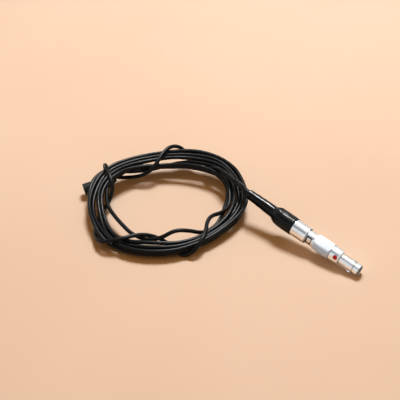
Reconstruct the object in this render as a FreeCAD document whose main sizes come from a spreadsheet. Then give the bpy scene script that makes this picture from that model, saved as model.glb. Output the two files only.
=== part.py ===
import FreeCAD, Part
import Sketcher
import math
import os

# Instrument cable: a thin screened microphone lead, hand coiled, with a small
# self-latching push-pull plug on one end and a miniature microphone head on
# the other.  Millimetres, +Z up, the floor is Z = 0, the origin is on the
# floor under the middle of the box of the two rigid ends (plug and head).

V = FreeCAD.Vector
doc = FreeCAD.newDocument("instrument_cable")

# ---------------------------------------------------------------------------
# Driving dimensions
# ---------------------------------------------------------------------------
sheet = doc.addObject("Spreadsheet::Sheet", "Dims")
DIMS = [
    # cable
    ("cable_rad", 0.85, "radius of the cable jacket"),
    # plug stations along its own axis, from the rear end of the glossy boot
    ("boot_neck_end", 13.6, "end of the narrow part of the boot"),
    ("boot_cone_end", 16.9, "end of the boot's shoulder"),
    ("boot_front", 24.5, "front rim of the boot"),
    ("boot_tail_rad", 2.0, "outer radius at the boot's rear end"),
    ("boot_neck_rad", 2.62, "outer radius at the end of the narrow part"),
    ("boot_rad", 3.85, "outer radius over the nut"),
    ("boot_wall", 0.5, "wall of the shrunk tube"),
    ("nut_rear", 17.5, "rear face of the clamp nut"),
    ("nut_front", 31.5, "front face of the clamp nut"),
    ("nut_rad", 3.55, "outer radius of the clamp nut"),
    ("nut_barrel_rad", 3.3, "radius of the nut's rear barrel, under the boot"),
    ("nut_skirt_depth", 4.1, "depth of the skirt that the release sleeve enters"),
    ("nut_skirt_rad", 2.98, "bore radius of the nut's skirt"),
    ("nut_chamfer", 0.4, "chamfer at the nut's front"),
    ("neck_rad", 2.9, "release sleeve, smooth neck"),
    ("neck_rear", 29.4, "rear end of the neck, hidden in the nut"),
    ("knurl_back", 35.1, "start of the knurled grip"),
    ("knurl_front", 43.3, "end of the knurled grip"),
    ("grip_rad", 3.4, "radius of the grip and of the smooth ring"),
    ("groove_depth", 0.14, "depth of the grip's grooves"),
    ("groove_count", 36, "grooves round the grip"),
    ("ring_front", 47.8, "front face of the smooth ring"),
    ("sleeve_bore", 2.56, "bore of the release sleeve"),
    ("shell_rad", 2.5, "outer radius of the ring at the nose's end, which centres the plug"),
    ("shell_body_rad", 2.45, "outer radius of the inner shell behind that ring"),
    ("nose_ring_rear", 54.62, "rear edge of that ring"),
    ("nose_groove_rear", 54.02, "rear edge of the shallow groove behind that ring"),
    ("nose_groove_rad", 2.33, "radius at the bottom of that groove"),
    ("shell_bore", 2.0, "bore of the inner shell"),
    ("shell_rear", 22.7, "rear end of the inner shell"),
    ("nose_front", 56.9, "front face of the nose"),
    ("slot_rear", 41.0, "rear end of a latch slot"),
    ("slot_front", 54.0, "front end of a latch slot"),
    ("slot_width", 1.7, "width of a latch slot"),
    ("finger_width", 1.5, "width of a latch finger"),
    ("finger_rear", 41.3, "rear end of a latch finger"),
    ("finger_front", 53.8, "front end of a latch finger"),
    ("finger_in", 2.08, "inner face of a latch finger, from the axis"),
    ("finger_out", 2.42, "outer face of a latch finger, from the axis"),
    ("tooth_rear", 52.4, "rear edge of the latch tooth"),
    ("tooth_top", 2.82, "top of the latch tooth, from the axis"),
    ("key_rear", 48.2, "rear end of the nose key"),
    ("key_front", 53.4, "front end of the nose key"),
    ("key_width", 0.7, "width of the nose key"),
    ("key_top", 2.68, "top of the nose key, from the axis"),
    ("dot_rad", 0.95, "radius of the index dot"),
    ("dot_pos", 46.0, "position of the index dot"),
    ("latch_ring_rear", 38.2, "rear face of the latch ring"),
    ("latch_ring_front", 40.9, "front face of the latch ring"),
    ("insul_rear", 34.5, "rear face of the contact insulator"),
    ("insul_collar", 38.0, "end of the insulator's collar"),
    ("insul_front", 48.0, "front face of the insulator"),
    ("insul_rad", 1.75, "radius of the insulator"),
    ("pin_rad", 0.25, "radius of a contact pin"),
    ("pin_circle", 0.8, "radius of the circle the contacts stand on"),
    ("pin_rear", 31.5, "rear end of the solder cups"),
    ("pin_front", 54.6, "front end of the contact pins"),
    ("cup_rad", 0.36, "outer radius of a solder cup"),
    ("cup_bore", 0.22, "bore of a solder cup"),
    ("carrier_rear", 28.5, "rear face of the insert carrier"),
    ("carrier_rad", 1.95, "outer radius of the insert carrier"),
    ("carrier_bore", 1.22, "bore of the insert carrier"),
    ("cone_rear", 25.3, "rear face of the screen clamping cone"),
    ("cone_front", 28.3, "front face of the screen clamping cone"),
    ("collet_rear", 19.3, "rear end of the cable collet"),
    ("collet_front", 24.4, "front end of the cable collet"),
    ("collet_rad", 1.95, "outer radius of the collet"),
    ("collet_slot", 0.4, "width of the collet's slots"),
    ("relief_rad", 1.2, "outer radius of the inner relief sleeve"),
    ("relief_bore", 0.87, "bore of the inner relief sleeve"),
    ("relief_front", 19.0, "front end of the inner relief sleeve"),
    ("relief_free", 20.3, "length of the inner relief sleeve outside the boot"),
    ("core_front", 25.0, "end of the jacket inside the plug"),
    ("conductor_rad", 0.2, "radius of an insulated conductor"),
    # microphone head stations, from its outer end face
    ("head_rad", 2.65, "outer radius of the head"),
    ("cap_length", 4.0, "length of the grid cap"),
    ("cap_bore", 2.3, "bore of the grid cap"),
    ("cap_wall", 0.4, "end wall of the grid cap"),
    ("cap_round", 0.2, "rounding of the cap's rim"),
    ("grid_rad", 0.26, "radius of a sound opening"),
    ("grid_circle_a", 0.85, "inner circle of sound openings"),
    ("grid_circle_b", 1.65, "outer circle of sound openings"),
    ("head_length", 12.7, "overall length of the head"),
    ("spigot_rad", 2.24, "spigot that carries the cap"),
    ("spigot_front", 0.9, "outer end of the spigot"),
    ("head_bore", 2.02, "bore of the head"),
    ("head_bore_end", 10.6, "depth of the head's bore"),
    ("gland_hole", 1.3, "radius of the hole for the gland"),
    ("capsule_rad", 2.0, "radius of the capsule"),
    ("capsule_front", 1.0, "front of the capsule"),
    ("capsule_back", 3.4, "back of the capsule"),
    ("gland_end", 15.0, "free end of the soft gland"),
    # placements, in the cable's own frame
    ("plug_x", 13.659, "rear end of the boot"),
    ("plug_y", 7.961, ""),
    ("plug_z", 12.424, ""),
    ("plug_yaw", -39.433, "degrees"),
    ("plug_pitch", 10.141, "degrees, nose down"),
    ("plug_roll", 61.0, "degrees, turns the index dot up and to the front"),
    ("head_x", -57.511, "middle of the head's outer end face"),
    ("head_y", 22.861, ""),
    ("head_z", 3.6, ""),
    ("head_yaw", 19.54, "degrees"),
    ("head_pitch", -8.64, "degrees, outer end low"),
    ("coil_x", -20.69, "middle of the coil"),
    ("coil_y", 12.16, ""),
    ("coil_mean_rad", 28.7, "mean radius of the turns"),
    ("coil_half_width", 5.3, "half width of the bundle"),
    ("coil_front_top", 7.6, "height of the bundle at the front"),
    ("coil_back_top", 11.8, "height of the bundle at the back"),
    ("coil_pocket_rad", 2.95, "room in the turns round the head"),
    ("coil_pocket_depth", 15.4, "depth of that room, from the head's end face"),
]
for i, (alias, value, note) in enumerate(DIMS):
    row = i + 1
    sheet.set("A%d" % row, alias)
    sheet.set("B%d" % row, str(value))
    sheet.setAlias("B%d" % row, alias)
    if note:
        sheet.set("C%d" % row, note)
doc.recompute()
D = {alias: float(value) for alias, value, note in DIMS}


def num(expr):
    """Value of an expression in the sheet's aliases, for first positions."""
    if isinstance(expr, (int, float)):
        return float(expr)
    text = expr
    total = 0.0
    sign = 1.0
    for token in text.replace("-", " - ").replace("+", " + ").split():
        if token == "+":
            sign = 1.0
        elif token == "-":
            sign = -1.0
        else:
            total += sign * (D[token] if token in D else float(token))
            sign = 1.0
    return total


def bound(expr):
    """The same expression, with each alias read from the sheet."""
    out = []
    for token in expr.replace("-", " - ").replace("+", " + ").split():
        out.append("Dims." + token if token in D else token)
    return " ".join(out)


def plane(body, role):
    for feature in body.Origin.OriginFeatures:
        if feature.Role == role:
            return feature
    raise RuntimeError("no plane " + role)


def new_body(label, placement=None):
    body = doc.addObject("PartDesign::Body", label)
    body.Label = label
    if placement is not None:
        body.Placement = placement
    return body


def outline(body, name, points, role="XY_Plane"):
    """Closed sketch of straight edges.  Every corner is held by two
    dimensions from the sketch's origin, read from the sheet."""
    sketch = body.newObject("Sketcher::SketchObject", name)
    sketch.AttachmentSupport = [(plane(body, role), "")]
    sketch.MapMode = "FlatFace"
    values = [(num(a), num(b)) for a, b in points]
    count = len(points)
    for i in range(count):
        a, b = values[i], values[(i + 1) % count]
        sketch.addGeometry(Part.LineSegment(V(a[0], a[1], 0), V(b[0], b[1], 0)), False)
    for i in range(count):
        sketch.addConstraint(Sketcher.Constraint("Coincident", i, 2, (i + 1) % count, 1))
    for i, (a, b) in enumerate(points):
        for kind, expr, value in (("DistanceX", a, values[i][0]), ("DistanceY", b, values[i][1])):
            if isinstance(expr, (int, float)) and abs(float(expr)) < 1e-9:
                axis = -2 if kind == "DistanceX" else -1
                sketch.addConstraint(Sketcher.Constraint("PointOnObject", i, 1, axis))
                continue
            index = sketch.addConstraint(Sketcher.Constraint(kind, -1, 1, i, 1, value))
            if not isinstance(expr, (int, float)):
                name_c = "c%d%s" % (i, kind[-1].lower())
                sketch.renameConstraint(index, name_c)
                sketch.setExpression("Constraints." + name_c, bound(expr))
    return sketch


def turned(body, name, points):
    """A turned piece: the outline spun about the body's own X axis."""
    sketch = outline(body, name + "_section", points)
    spin = body.newObject("PartDesign::Revolution", name + "_turned")
    spin.Profile = sketch
    spin.ReferenceAxis = (sketch, ["H_Axis"])
    spin.Angle = 360.0
    sketch.Visibility = False
    return spin


def circles(body, name, spots, rad, role="YZ_Plane", offset=None):
    """Sketch of circles, for holes and pins; rad is a sheet expression."""
    sketch = body.newObject("Sketcher::SketchObject", name)
    sketch.AttachmentSupport = [(plane(body, role), "")]
    sketch.MapMode = "FlatFace"
    if offset is not None:
        sketch.setExpression(".AttachmentOffset.Base.z", bound(offset))
    for k, (px, py) in enumerate(spots):
        sketch.addGeometry(Part.Circle(V(px, py, 0), V(0, 0, 1), num(rad)), False)
        index = sketch.addConstraint(Sketcher.Constraint("Radius", k, num(rad)))
        sketch.renameConstraint(index, "r%d" % k)
        sketch.setExpression("Constraints.r%d" % k, bound(rad))
        for kind, value in (("DistanceX", px), ("DistanceY", py)):
            if abs(value) < 1e-9:
                axis = -2 if kind == "DistanceX" else -1
                sketch.addConstraint(Sketcher.Constraint("PointOnObject", k, 3, axis))
            else:
                sketch.addConstraint(Sketcher.Constraint(kind, -1, 1, k, 3, value))
    return sketch


def cut_through(body, sketch, name, length, reverse):
    """A pocket whose direction is checked by the volume it takes away."""
    doc.recompute()
    before = body.Shape.Volume
    pocket = body.newObject("PartDesign::Pocket", name)
    pocket.Profile = sketch
    pocket.Type = 0
    pocket.Length = num(length)
    if not isinstance(length, (int, float)):
        pocket.setExpression("Length", bound(length))
    pocket.Reversed = reverse
    doc.recompute()
    if body.Shape.Volume > before - 1e-4:
        raise RuntimeError("pocket %s cuts nothing" % name)
    sketch.Visibility = False
    return pocket


def rot(yaw, pitch, roll):
    return FreeCAD.Rotation(yaw, pitch, roll)


PLUG = FreeCAD.Placement(V(D["plug_x"], D["plug_y"], D["plug_z"]),
                         rot(D["plug_yaw"], D["plug_pitch"], D["plug_roll"]))
HEAD = FreeCAD.Placement(V(D["head_x"], D["head_y"], D["head_z"]),
                         rot(D["head_yaw"], D["head_pitch"], 0.0))

nodes = []


def keep(obj, label):
    obj.Label = label
    nodes.append((label, obj))
    return obj


def triangle(radius, start=90.0):
    return [(radius * math.cos(math.radians(start + 120.0 * k)),
             radius * math.sin(math.radians(start + 120.0 * k))) for k in range(3)]


# ---------------------------------------------------------------------------
# Plug: pieces from the outside in
# ---------------------------------------------------------------------------
# heat-shrink boot: a narrow tube over the cable's relief sleeve, a shoulder,
# and a wide part that grips the rear barrel of the nut
boot = new_body("heat_shrink_boot", PLUG)
turned(boot, "boot", [
    (0, "relief_rad + 0.02"), (0, "boot_tail_rad"),
    ("boot_neck_end", "boot_neck_rad"), ("boot_cone_end", "boot_rad"),
    ("boot_front - 0.3", "boot_rad"), ("boot_front", "boot_rad - 0.12"),
    ("boot_front", "nut_barrel_rad"), ("nut_rear", "nut_barrel_rad"),
    ("boot_cone_end - 0.4", "nut_barrel_rad - 0.05"),
    ("boot_neck_end", "boot_neck_rad - boot_wall"),
    (4.0, "relief_rad + 0.02")])
keep(boot, "heat_shrink_boot")

# clamp nut: polished, smooth outside, with a skirt that guides the sleeve
nut = new_body("clamp_nut", PLUG)
turned(nut, "nut", [
    ("nut_rear", "relief_rad + 0.12"), ("nut_rear", "nut_barrel_rad"),
    ("boot_front + 0.02", "nut_barrel_rad"), ("boot_front + 0.02", "nut_rad - 0.12"),
    ("boot_front + 0.2", "nut_rad"), ("nut_front - nut_chamfer", "nut_rad"),
    ("nut_front", "nut_rad - 0.15"), ("nut_front", "nut_skirt_rad"),
    ("nut_front - nut_skirt_depth", "nut_skirt_rad"),
    ("nut_front - nut_skirt_depth", "shell_body_rad + 0.02"),
    ("shell_rear", "shell_body_rad + 0.02"), ("shell_rear", "collet_rad + 0.25"),
    ("collet_rear + 1.4", "collet_rad + 0.25"), ("collet_rear", "relief_rad + 0.12")])
keep(nut, "clamp_nut")

# release sleeve: neck, knurled grip and smooth ring in one turned piece
sleeve = new_body("release_sleeve", PLUG)
turned(sleeve, "sleeve", [
    ("neck_rear", "sleeve_bore"), ("neck_rear", "neck_rad"),
    ("knurl_back", "neck_rad"), ("knurl_back", "grip_rad - 0.15"),
    ("knurl_back + 0.15", "grip_rad"), ("knurl_front", "grip_rad"),
    ("ring_front - 0.3", "grip_rad"), ("ring_front", "grip_rad - 0.2"),
    ("ring_front", "sleeve_bore")])
# one lengthwise groove of the grip, repeated round the axis
groove = outline(sleeve, "grip_groove", [
    ("grip_rad - groove_depth", -0.001), ("grip_rad + 0.2", -0.26), ("grip_rad + 0.2", 0.26)],
    role="YZ_Plane")
groove.setExpression(".AttachmentOffset.Base.z", bound("knurl_back + 0.3"))
groove_cut = cut_through(sleeve, groove, "grip_groove_cut", "knurl_front - knurl_back - 0.6", True)
around = sleeve.newObject("PartDesign::PolarPattern", "grip_grooves")
around.Originals = [groove_cut]
around.Axis = (plane(sleeve, "X_Axis"), [""])
around.Angle = 360.0
around.Occurrences = int(D["groove_count"])
around.setExpression("Occurrences", "Dims.groove_count")
sleeve.Tip = around
doc.recompute()
# two wrench flats on the neck, above and below the line of the index dot
flat = outline(sleeve, "wrench_flats", [
    (32.3, 2.73), (34.5, 2.73), (34.5, 3.6), (32.3, 3.6)], role="XZ_Plane")
doc.recompute()
volume_before = sleeve.Shape.Volume
flat_cut = sleeve.newObject("PartDesign::Pocket", "wrench_flat_cut")
flat_cut.Profile = flat
flat_cut.Type = 0
flat_cut.Length = 8.0
flat_cut.Midplane = True
flat.Visibility = False
doc.recompute()
if sleeve.Shape.Volume > volume_before - 1e-3:
    raise RuntimeError("wrench flat cuts nothing")
flat_two = sleeve.newObject("PartDesign::PolarPattern", "wrench_flat_pair")
flat_two.Originals = [flat_cut]
flat_two.Axis = (plane(sleeve, "X_Axis"), [""])
flat_two.Angle = 360.0
flat_two.Occurrences = 2
sleeve.Tip = flat_two
doc.recompute()
# seat of the index dot, drilled from the side of the dot
seat = circles(sleeve, "dot_seat", [(D["dot_pos"], 0.0)], "dot_rad", role="XY_Plane")
seat.setExpression(".AttachmentOffset.Base.z", bound("grip_rad + 0.3"))
cut_through(sleeve, seat, "dot_seat_cut", 0.62, False)
keep(sleeve, "release_sleeve")

# index dot: a red enamel disc in its seat
dot = new_body("index_dot", PLUG)
dot_sketch = circles(dot, "dot_face", [(D["dot_pos"], 0.0)], "dot_rad - 0.01", role="XY_Plane")
dot_sketch.setExpression(".AttachmentOffset.Base.z", bound("grip_rad - 0.31"))
dot_pad = dot.newObject("PartDesign::Pad", "dot_body")
dot_pad.Profile = dot_sketch
dot_pad.Length = 0.27
dot_sketch.Visibility = False
keep(dot, "index_dot")

# inner shell with the plain nose, two latch slots and a key
shell = new_body("inner_shell", PLUG)
turned(shell, "shell", [
    ("shell_rear", "shell_bore"), ("shell_rear", "shell_body_rad"),
    ("nose_groove_rear", "shell_body_rad"), ("nose_groove_rear", "nose_groove_rad"),
    ("nose_ring_rear", "nose_groove_rad"), ("nose_ring_rear", "shell_rad"),
    ("nose_front - 0.3", "shell_rad"), ("nose_front", "shell_rad - 0.22"),
    ("nose_front", "shell_bore + 0.12"), ("nose_front - 0.2", "shell_bore"),
    ("latch_ring_front + 0.1", "shell_bore"), ("latch_ring_front + 0.1", "shell_bore + 0.24"),
    ("latch_ring_rear - 0.1", "shell_bore + 0.24"), ("latch_ring_rear - 0.1", "shell_bore")])
# the slots are cut right across, one above and one below the axis
slots = outline(shell, "latch_slots", [
    ("slot_rear", -0.85), ("slot_front", -0.85), ("slot_front", 0.85), ("slot_rear", 0.85)],
    role="XZ_Plane")
doc.recompute()
volume_before = shell.Shape.Volume
slot_cut = shell.newObject("PartDesign::Pocket", "latch_slot_cut")
slot_cut.Profile = slots
slot_cut.Type = 0
slot_cut.Length = 7.0
slot_cut.Midplane = True
slots.Visibility = False
doc.recompute()
if shell.Shape.Volume > volume_before - 1e-3:
    raise RuntimeError("latch slots cut nothing")
key = outline(shell, "nose_key", [
    ("key_rear", -0.35), ("key_front", -0.35), ("key_front", 0.35), ("key_rear", 0.35)],
    role="XY_Plane")
key.setExpression(".AttachmentOffset.Base.z", bound("shell_body_rad - 0.07"))
key_pad = shell.newObject("PartDesign::Pad", "nose_key_pad")
key_pad.Profile = key
key_pad.Length = D["key_top"] - D["shell_body_rad"] + 0.07
key_pad.setExpression("Length", bound("key_top - shell_body_rad + 0.07"))
key.Visibility = False
keep(shell, "inner_shell")

# latch ring: the seat of both fingers, in its groove inside the shell
latch_ring = new_body("latch_ring", PLUG)
turned(latch_ring, "latch_ring", [
    ("latch_ring_rear", "shell_bore + 0.01"), ("latch_ring_rear", "shell_bore + 0.22"),
    ("latch_ring_front", "shell_bore + 0.22"), ("latch_ring_front", "shell_bore + 0.01")])
keep(latch_ring, "latch_ring")

# two latch fingers: spring strips with a tooth that stands out of the nose
FINGER = [
    ("finger_rear", "finger_in"), ("finger_front", "finger_in"),
    ("finger_front", "finger_out"), ("finger_front - 0.35", "tooth_top"),
    ("tooth_rear + 0.15", "tooth_top"), ("tooth_rear", "finger_out"),
    ("finger_rear", "finger_out")]
for label, turn in (("latch_finger_upper", 0.0), ("latch_finger_lower", 180.0)):
    finger_place = PLUG.multiply(FreeCAD.Placement(V(0, 0, 0), FreeCAD.Rotation(V(1, 0, 0), turn)))
    finger = new_body(label, finger_place)
    finger_sketch = outline(finger, label + "_side", FINGER, role="XY_Plane")
    finger_pad = finger.newObject("PartDesign::Pad", label + "_pad")
    finger_pad.Profile = finger_sketch
    finger_pad.Length = D["finger_width"]
    finger_pad.setExpression("Length", "Dims.finger_width")
    finger_pad.Midplane = True
    finger_sketch.Visibility = False
    keep(finger, label)

# contact insulator with three holes
insulator = new_body("contact_insulator", PLUG)
turned(insulator, "insulator", [
    ("insul_rear", 0), ("insul_rear", "carrier_rad"), ("insul_collar", "carrier_rad"),
    ("insul_collar", "insul_rad"), ("insul_front - 0.1", "insul_rad"),
    ("insul_front", "insul_rad - 0.1"), ("insul_front", 0)])
holes = circles(insulator, "contact_holes", triangle(D["pin_circle"]), "pin_rad + 0.01")
holes.setExpression(".AttachmentOffset.Base.z", bound("insul_rear - 1"))
cut_through(insulator, holes, "contact_hole_cut", "insul_front - insul_rear + 2", True)
keep(insulator, "contact_insulator")

# three contact pins with solder cups, one node of three equal solids
pin_solids = []
for px, py in triangle(D["pin_circle"]):
    stem = Part.makeCylinder(D["pin_rad"], D["pin_front"] - 0.25 - D["insul_rear"] + 0.1,
                             V(D["insul_rear"] - 0.1, px, py), V(1, 0, 0))
    nose = Part.makeCone(D["pin_rad"], D["pin_rad"] * 0.35, 0.25,
                         V(D["pin_front"] - 0.25, px, py), V(1, 0, 0))
    cup = Part.makeCylinder(D["cup_rad"], D["insul_rear"] - 0.1 - D["pin_rear"],
                            V(D["pin_rear"], px, py), V(1, 0, 0))
    well = Part.makeCylinder(D["cup_bore"], 1.6, V(D["pin_rear"] - 0.2, px, py), V(1, 0, 0))
    pin_solids.append(stem.fuse(nose).fuse(cup.cut(well)).removeSplitter())
contacts = doc.addObject("Part::Feature", "contact_pins")
contacts.Shape = Part.makeCompound(pin_solids)
contacts.Placement = PLUG
keep(contacts, "contact_pins")

# insert carrier: two half shells round the solder cups
for label, side in (("insert_carrier_upper", 1.0), ("insert_carrier_lower", -1.0)):
    tube = doc.addObject("Part::Cylinder", label + "_outer")
    tube.setExpression("Radius", "Dims.carrier_rad")
    tube.setExpression("Height", "Dims.insul_rear - 0.1 - Dims.carrier_rear")
    tube.Placement = FreeCAD.Placement(V(D["carrier_rear"], 0, 0), FreeCAD.Rotation(V(0, 1, 0), 90))
    hollow = doc.addObject("Part::Cylinder", label + "_inner")
    hollow.setExpression("Radius", "Dims.carrier_bore")
    hollow.Height = 12.0
    hollow.Placement = FreeCAD.Placement(V(D["carrier_rear"] - 2, 0, 0), FreeCAD.Rotation(V(0, 1, 0), 90))
    half = doc.addObject("Part::Box", label + "_split")
    half.Length, half.Width, half.Height = 12.0, 6.0, 3.0
    half.Placement = FreeCAD.Placement(
        V(D["carrier_rear"] - 2, -3, -3.0 + 0.05 if side > 0 else -0.05), FreeCAD.Rotation())
    ring = doc.addObject("Part::Cut", label + "_ring")
    ring.Base, ring.Tool = tube, hollow
    piece = doc.addObject("Part::Cut", label)
    piece.Base, piece.Tool = ring, half
    piece.Placement = PLUG
    keep(piece, label)

# screen clamping cone and the screen folded back over the jacket
cone = new_body("earthing_cone", PLUG)
turned(cone, "cone", [
    ("cone_rear", 1.62), ("cone_rear", "carrier_rad"), ("cone_front", "carrier_rad"),
    ("cone_front", 0.95)])
keep(cone, "earthing_cone")

braid = new_body("shield_braid", PLUG)
turned(braid, "braid", [
    ("collet_front + 0.1", "cable_rad + 0.02"), ("collet_front + 0.1", "cable_rad + 0.35"),
    ("cone_rear", 1.5), ("cone_rear + 1.7", 1.06), ("cone_rear + 1.7", "cable_rad + 0.02")])
keep(braid, "shield_braid")

# slotted collet that grips the cable
collet = new_body("cable_collet", PLUG)
turned(collet, "collet", [
    ("collet_rear", "relief_bore"), ("collet_rear", 1.3),
    ("collet_rear + 1.3", "collet_rad"), ("collet_front", "collet_rad"),
    ("collet_front", "relief_bore")])
cross = outline(collet, "collet_slots", [
    ("collet_rear - 1", -0.2), ("collet_rear + 3.4", -0.2),
    ("collet_rear + 3.4", 0.2), ("collet_rear - 1", 0.2)], role="XY_Plane")
doc.recompute()
volume_before = collet.Shape.Volume
cross_cut = collet.newObject("PartDesign::Pocket", "collet_slot_cut")
cross_cut.Profile = cross
cross_cut.Type = 0
cross_cut.Length = 6.0
cross_cut.Midplane = True
cross.Visibility = False
doc.recompute()
cross_two = collet.newObject("PartDesign::PolarPattern", "collet_slot_pair")
cross_two.Originals = [cross_cut]
cross_two.Axis = (plane(collet, "X_Axis"), [""])
cross_two.Angle = 180.0
cross_two.Occurrences = 2
collet.Tip = cross_two
doc.recompute()
if collet.Shape.Volume > volume_before - 1e-3:
    raise RuntimeError("collet slots cut nothing")
keep(collet, "cable_collet")

# insulated conductors between the jacket's end and the solder cups
wires = new_body("plug_conductors", PLUG)
wire_sketch = circles(wires, "wire_section", triangle(0.6), "conductor_rad")
wire_sketch.setExpression(".AttachmentOffset.Base.z", bound("core_front + 0.02"))
wire_pad = wires.newObject("PartDesign::Pad", "wire_run")
wire_pad.Profile = wire_sketch
wire_pad.Length = 6.4
wire_pad.setExpression("Length", bound("pin_rear - core_front - 0.04"))
wire_sketch.Visibility = False
doc.recompute()
keep(wires, "plug_conductors")

# ---------------------------------------------------------------------------
# Cable
# ---------------------------------------------------------------------------
# the length held straight inside the plug and its boot
core = doc.addObject("Part::Cylinder", "cable_in_plug")
core.setExpression("Radius", "Dims.cable_rad")
core.setExpression("Height", "Dims.core_front")
core.Placement = PLUG.multiply(FreeCAD.Placement(V(0, 0, 0), FreeCAD.Rotation(V(0, 1, 0), 90)))
keep(core, "cable_in_plug")

# the free stretch from the boot, over the coil and down on to its turns
LEAD_ROUTE = [
    (13.659, 7.961, 12.424),
    (11.30, 9.90, 12.97),
    (9.20, 14.20, 13.35),
    (5.80, 20.20, 13.15),
    (2.20, 26.20, 12.35),
    (-1.90, 32.30, 11.00),
    (-6.70, 37.30, 9.60),
]


def tube_path(points, tag):
    """Straight runs joined by tangent arcs; each arc's radius is 0.45 of the
    shorter run over the tangent of half the turn."""
    pts = [V(*p) for p in points]
    edges = []
    start = pts[0]
    radii = []
    for i in range(1, len(pts) - 1):
        a, b, c = pts[i - 1], pts[i], pts[i + 1]
        u = (b - a) * (1.0 / (b - a).Length)
        w = (c - b) * (1.0 / (c - b).Length)
        shorter = min((b - a).Length, (c - b).Length)
        trim = 0.45 * shorter
        turn = u.getAngle(w)
        radius = trim / math.tan(turn / 2.0)
        first = b - u * trim
        last = b + w * trim
        # the middle of the arc lies on the bisector of the corner
        bisector = (w - u) * (1.0 / (w - u).Length)
        centre = b + bisector * (radius / math.cos(turn / 2.0))
        middle = centre - bisector * radius
        edges.append(Part.LineSegment(start, first).toShape())
        edges.append(Part.Arc(first, middle, last).toShape())
        start = last
        radii.append((round(radius, 1), round(math.degrees(turn), 1)))
    edges.append(Part.LineSegment(start, pts[-1]).toShape())
    print(tag, "arc radius mm and turn:", radii)
    return Part.Wire(edges)


def tube_solid(wire, radius, tag):
    begin = wire.Edges[0]
    direction = begin.tangentAt(begin.FirstParameter)
    ring_wire = Part.Wire([Part.Circle(begin.valueAt(begin.FirstParameter), direction, radius).toShape()])
    solid = wire.makePipeShell([ring_wire], True, False)
    if solid.Volume < 0:
        solid.reverse()
    expected = math.pi * radius * radius * wire.Length
    print(tag, "length %.2f volume %.3f of %.3f" % (wire.Length, solid.Volume, expected))
    if abs(solid.Volume - expected) > 0.02 * expected:
        raise RuntimeError(tag + " has the wrong volume")
    return solid


lead_wire = tube_path(LEAD_ROUTE, "cable_lead")
lead = doc.addObject("Part::Feature", "cable_lead")
lead.Shape = tube_solid(lead_wire, D["cable_rad"], "cable_lead")
keep(lead, "cable_lead")

# soft inner relief sleeve: straight in the boot, then bent with the cable
relief_start = PLUG.multVec(V(D["relief_front"], 0, 0))
relief_edges = [Part.LineSegment(relief_start, V(*LEAD_ROUTE[0])).toShape()]
free = D["relief_free"]
for edge in lead_wire.Edges:
    if edge.Length < free:
        relief_edges.append(edge)
        free -= edge.Length
        continue
    if edge.Curve.TypeId == "Part::GeomLine":
        begin_at, heading = edge.valueAt(edge.FirstParameter), edge.tangentAt(edge.FirstParameter)
        relief_edges.append(Part.LineSegment(begin_at, begin_at + heading * free).toShape())
    else:
        share = free / edge.Length
        spread = edge.LastParameter - edge.FirstParameter
        relief_edges.append(Part.Arc(edge.valueAt(edge.FirstParameter),
                                     edge.valueAt(edge.FirstParameter + 0.5 * share * spread),
                                     edge.valueAt(edge.FirstParameter + share * spread)).toShape())
    break
relief_wire = Part.Wire(relief_edges)
outer_tube = tube_solid(relief_wire, D["relief_rad"], "relief_sleeve outer")
inner_tube = tube_solid(relief_wire, D["relief_bore"], "relief_sleeve inner")
relief = doc.addObject("Part::Feature", "relief_sleeve")
relief.Shape = outer_tube.cut(inner_tube)
keep(relief, "relief_sleeve")

# the coil: one closed solid of the bundle's outer shape.  It stands on the
# floor all round and its top rises from the front to the back.
coil_base = new_body("coil_ring", FreeCAD.Placement(V(D["coil_x"], D["coil_y"], 0), FreeCAD.Rotation()))
# an eight-sided section, every corner held by the sheet
section = [
    ("coil_mean_rad - 2.6", 0), ("coil_mean_rad + 2.6", 0),
    ("coil_mean_rad + coil_half_width", 2.8), ("coil_mean_rad + coil_half_width", "coil_back_top - 3.2"),
    ("coil_mean_rad + 2.8", "coil_back_top"), ("coil_mean_rad - 2.8", "coil_back_top"),
    ("coil_mean_rad - coil_half_width", "coil_back_top - 3.2"), ("coil_mean_rad - coil_half_width", 2.8)]
ring_sketch = outline(coil_base, "coil_outline", section, role="XZ_Plane")
ring_spin = coil_base.newObject("PartDesign::Revolution", "coil_spin")
ring_spin.Profile = ring_sketch
ring_spin.ReferenceAxis = (ring_sketch, ["V_Axis"])
ring_spin.Angle = 360.0
ring_sketch.Visibility = False
doc.recompute()
print("coil ring before the slope", round(coil_base.Shape.Volume, 1))
# the slope of its top: everything above the line from front to back goes
slope = outline(coil_base, "coil_slope", [
    (-40, "coil_front_top - 0.4"), (40, "coil_back_top + 0.4"), (40, 20), (-40, 20)], role="YZ_Plane")
slope_cut = coil_base.newObject("PartDesign::Pocket", "coil_slope_cut")
slope_cut.Profile = slope
slope_cut.Type = 0
slope_cut.Length = 90.0
slope_cut.Midplane = True
slope.Visibility = False
doc.recompute()
print("coil ring after the slope", round(coil_base.Shape.Volume, 1))
pocket_tool = doc.addObject("Part::Cylinder", "coil_head_room")
pocket_tool.setExpression("Radius", "Dims.coil_pocket_rad")
pocket_tool.setExpression("Height", "Dims.coil_pocket_depth + 10")
pocket_tool.Placement = HEAD.multiply(FreeCAD.Placement(V(-10, 0, 0), FreeCAD.Rotation(V(0, 1, 0), 90)))
coil = doc.addObject("Part::Cut", "cable_coil")
coil.Base, coil.Tool = coil_base, pocket_tool
keep(coil, "cable_coil")

# the short end of the cable between the head and the coil
tail = doc.addObject("Part::Cylinder", "cable_tail")
tail.setExpression("Radius", "Dims.cable_rad")
tail.Height = 9.2
tail.Placement = HEAD.multiply(FreeCAD.Placement(V(8.4, 0, 0), FreeCAD.Rotation(V(0, 1, 0), 90)))
keep(tail, "cable_tail")

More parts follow.
